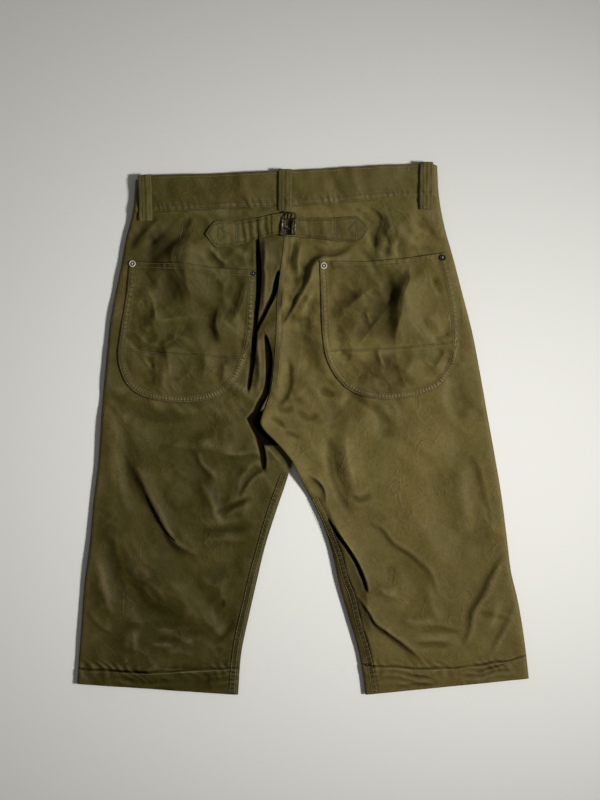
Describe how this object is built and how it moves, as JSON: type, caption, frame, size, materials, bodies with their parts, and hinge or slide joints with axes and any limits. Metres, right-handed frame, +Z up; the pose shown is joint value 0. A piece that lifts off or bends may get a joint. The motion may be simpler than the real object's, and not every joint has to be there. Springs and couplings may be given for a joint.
{
  "type": "shorts",
  "caption": "Three-quarter-length work shorts in waxed olive cotton with back patch pockets and a cinch strap, laid out flat with the back up",
  "frame": {"origin": "on the surface the shorts lie on, under the middle of their outline", "axes": "+Z up out of the back of the shorts, +Y towards the waistband, +X to the right as seen from above"},
  "size_m": [0.6014, 0.7055, 0.015],
  "materials": {
    "cotton": "heavy olive-brown cotton, lightly waxed, soft sheen on the folds",
    "waistband": "the same waxed cotton, doubled and top-stitched",
    "pocket": "the same waxed cotton, puckered along its double stitching",
    "rivet": "nickel ring round a dark sunk middle",
    "buckle": "dark, slightly worn metal",
    "button": "dull nickel"
  },
  "bodies": {
    "root": {"back_left": "cotton", "back_right": "cotton", "front_left": "cotton", "front_right": "cotton", "fly": "cotton", "waistband_back": "waistband", "waistband_front_left": "waistband", "waistband_front_right": "waistband", "loop_back_left": "waistband", "loop_back_centre": "waistband", "loop_back_right": "waistband", "loop_front_left": "waistband", "loop_front_right": "waistband", "pocket_left": "pocket", "pocket_right": "pocket", "strap_left": "waistband", "strap_right": "waistband", "rivet_1": "rivet", "rivet_2": "rivet", "rivet_3": "rivet", "rivet_4": "rivet", "buckle": "buckle", "button": "button"}
  },
  "joints": []
}
